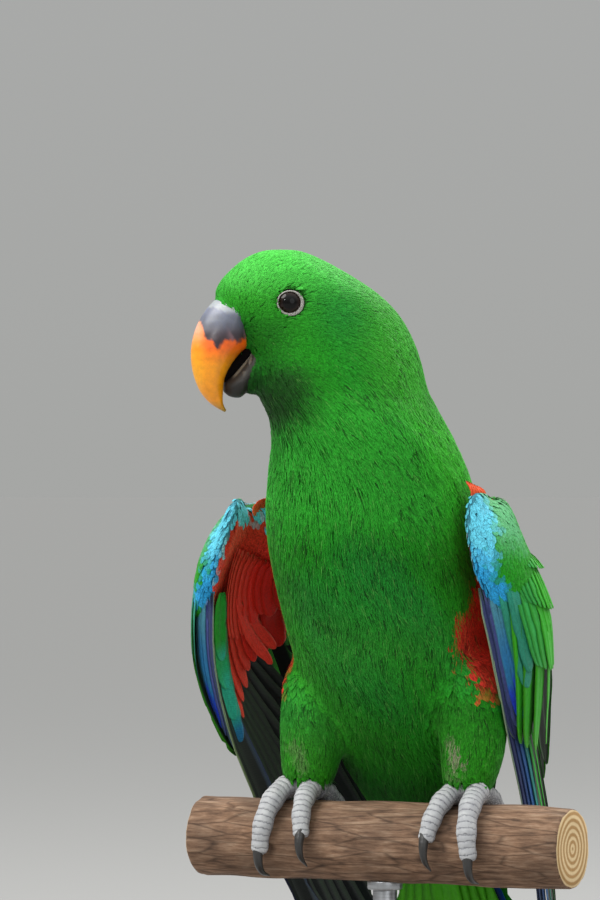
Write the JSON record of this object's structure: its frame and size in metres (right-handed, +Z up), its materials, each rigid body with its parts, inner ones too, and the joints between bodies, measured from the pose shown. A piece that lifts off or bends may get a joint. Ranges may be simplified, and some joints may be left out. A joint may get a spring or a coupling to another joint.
{
  "type": "eclectus parrot model",
  "caption": "Life-size still model of a male eclectus parrot gripping a short cut branch, head turned to its right, wings held a little open, on a plain rod-and-base display stand.",
  "frame": {"origin": "middle of the base's flat underside", "axes": "+Z up; the bird's body faces -Y with its left towards +X, and the perch runs along X"},
  "size_m": [0.1567, 0.1717, 0.3514],
  "materials": {
    "plumage_green": "bright green feathers, hair-fine on the neck and breast",
    "wing_plumage": "green, turquoise and blue feathers with red linings and dark inner webs",
    "tail_plumage": "green and blue above, blackish below with pale tips",
    "bill_horn_upper": "orange horn, yellower at the tip and slate at the base, satin gloss",
    "bill_horn_lower": "black horn, satin gloss",
    "eye": "very dark brown, wet gloss",
    "foot_skin": "grey scaled skin, matte",
    "claw_horn": "blackish horn, satin",
    "perch_bark": "weathered branch with fine bark, sawn ends",
    "stand_metal": "brushed rod",
    "stand_wood": "dark stained, satin varnish"
  },
  "bodies": {
    "root": {"head": "plumage_green", "neck": "plumage_green", "torso": "plumage_green", "leg_left": "plumage_green", "leg_right": "plumage_green", "wing_left": "wing_plumage", "wing_right": "wing_plumage", "tail": "tail_plumage", "bill_upper": "bill_horn_upper", "bill_lower": "bill_horn_lower", "eye_left": "eye", "eye_right": "eye", "foot_left": "foot_skin", "foot_right": "foot_skin", "claw_left_front_outer": "claw_horn", "claw_left_front_inner": "claw_horn", "claw_left_back_outer": "claw_horn", "claw_left_back_inner": "claw_horn", "claw_right_front_outer": "claw_horn", "claw_right_front_inner": "claw_horn", "claw_right_back_outer": "claw_horn", "claw_right_back_inner": "claw_horn", "perch": "perch_bark", "stand_rod": "stand_metal", "stand_base": "stand_wood"}
  },
  "joints": []
}
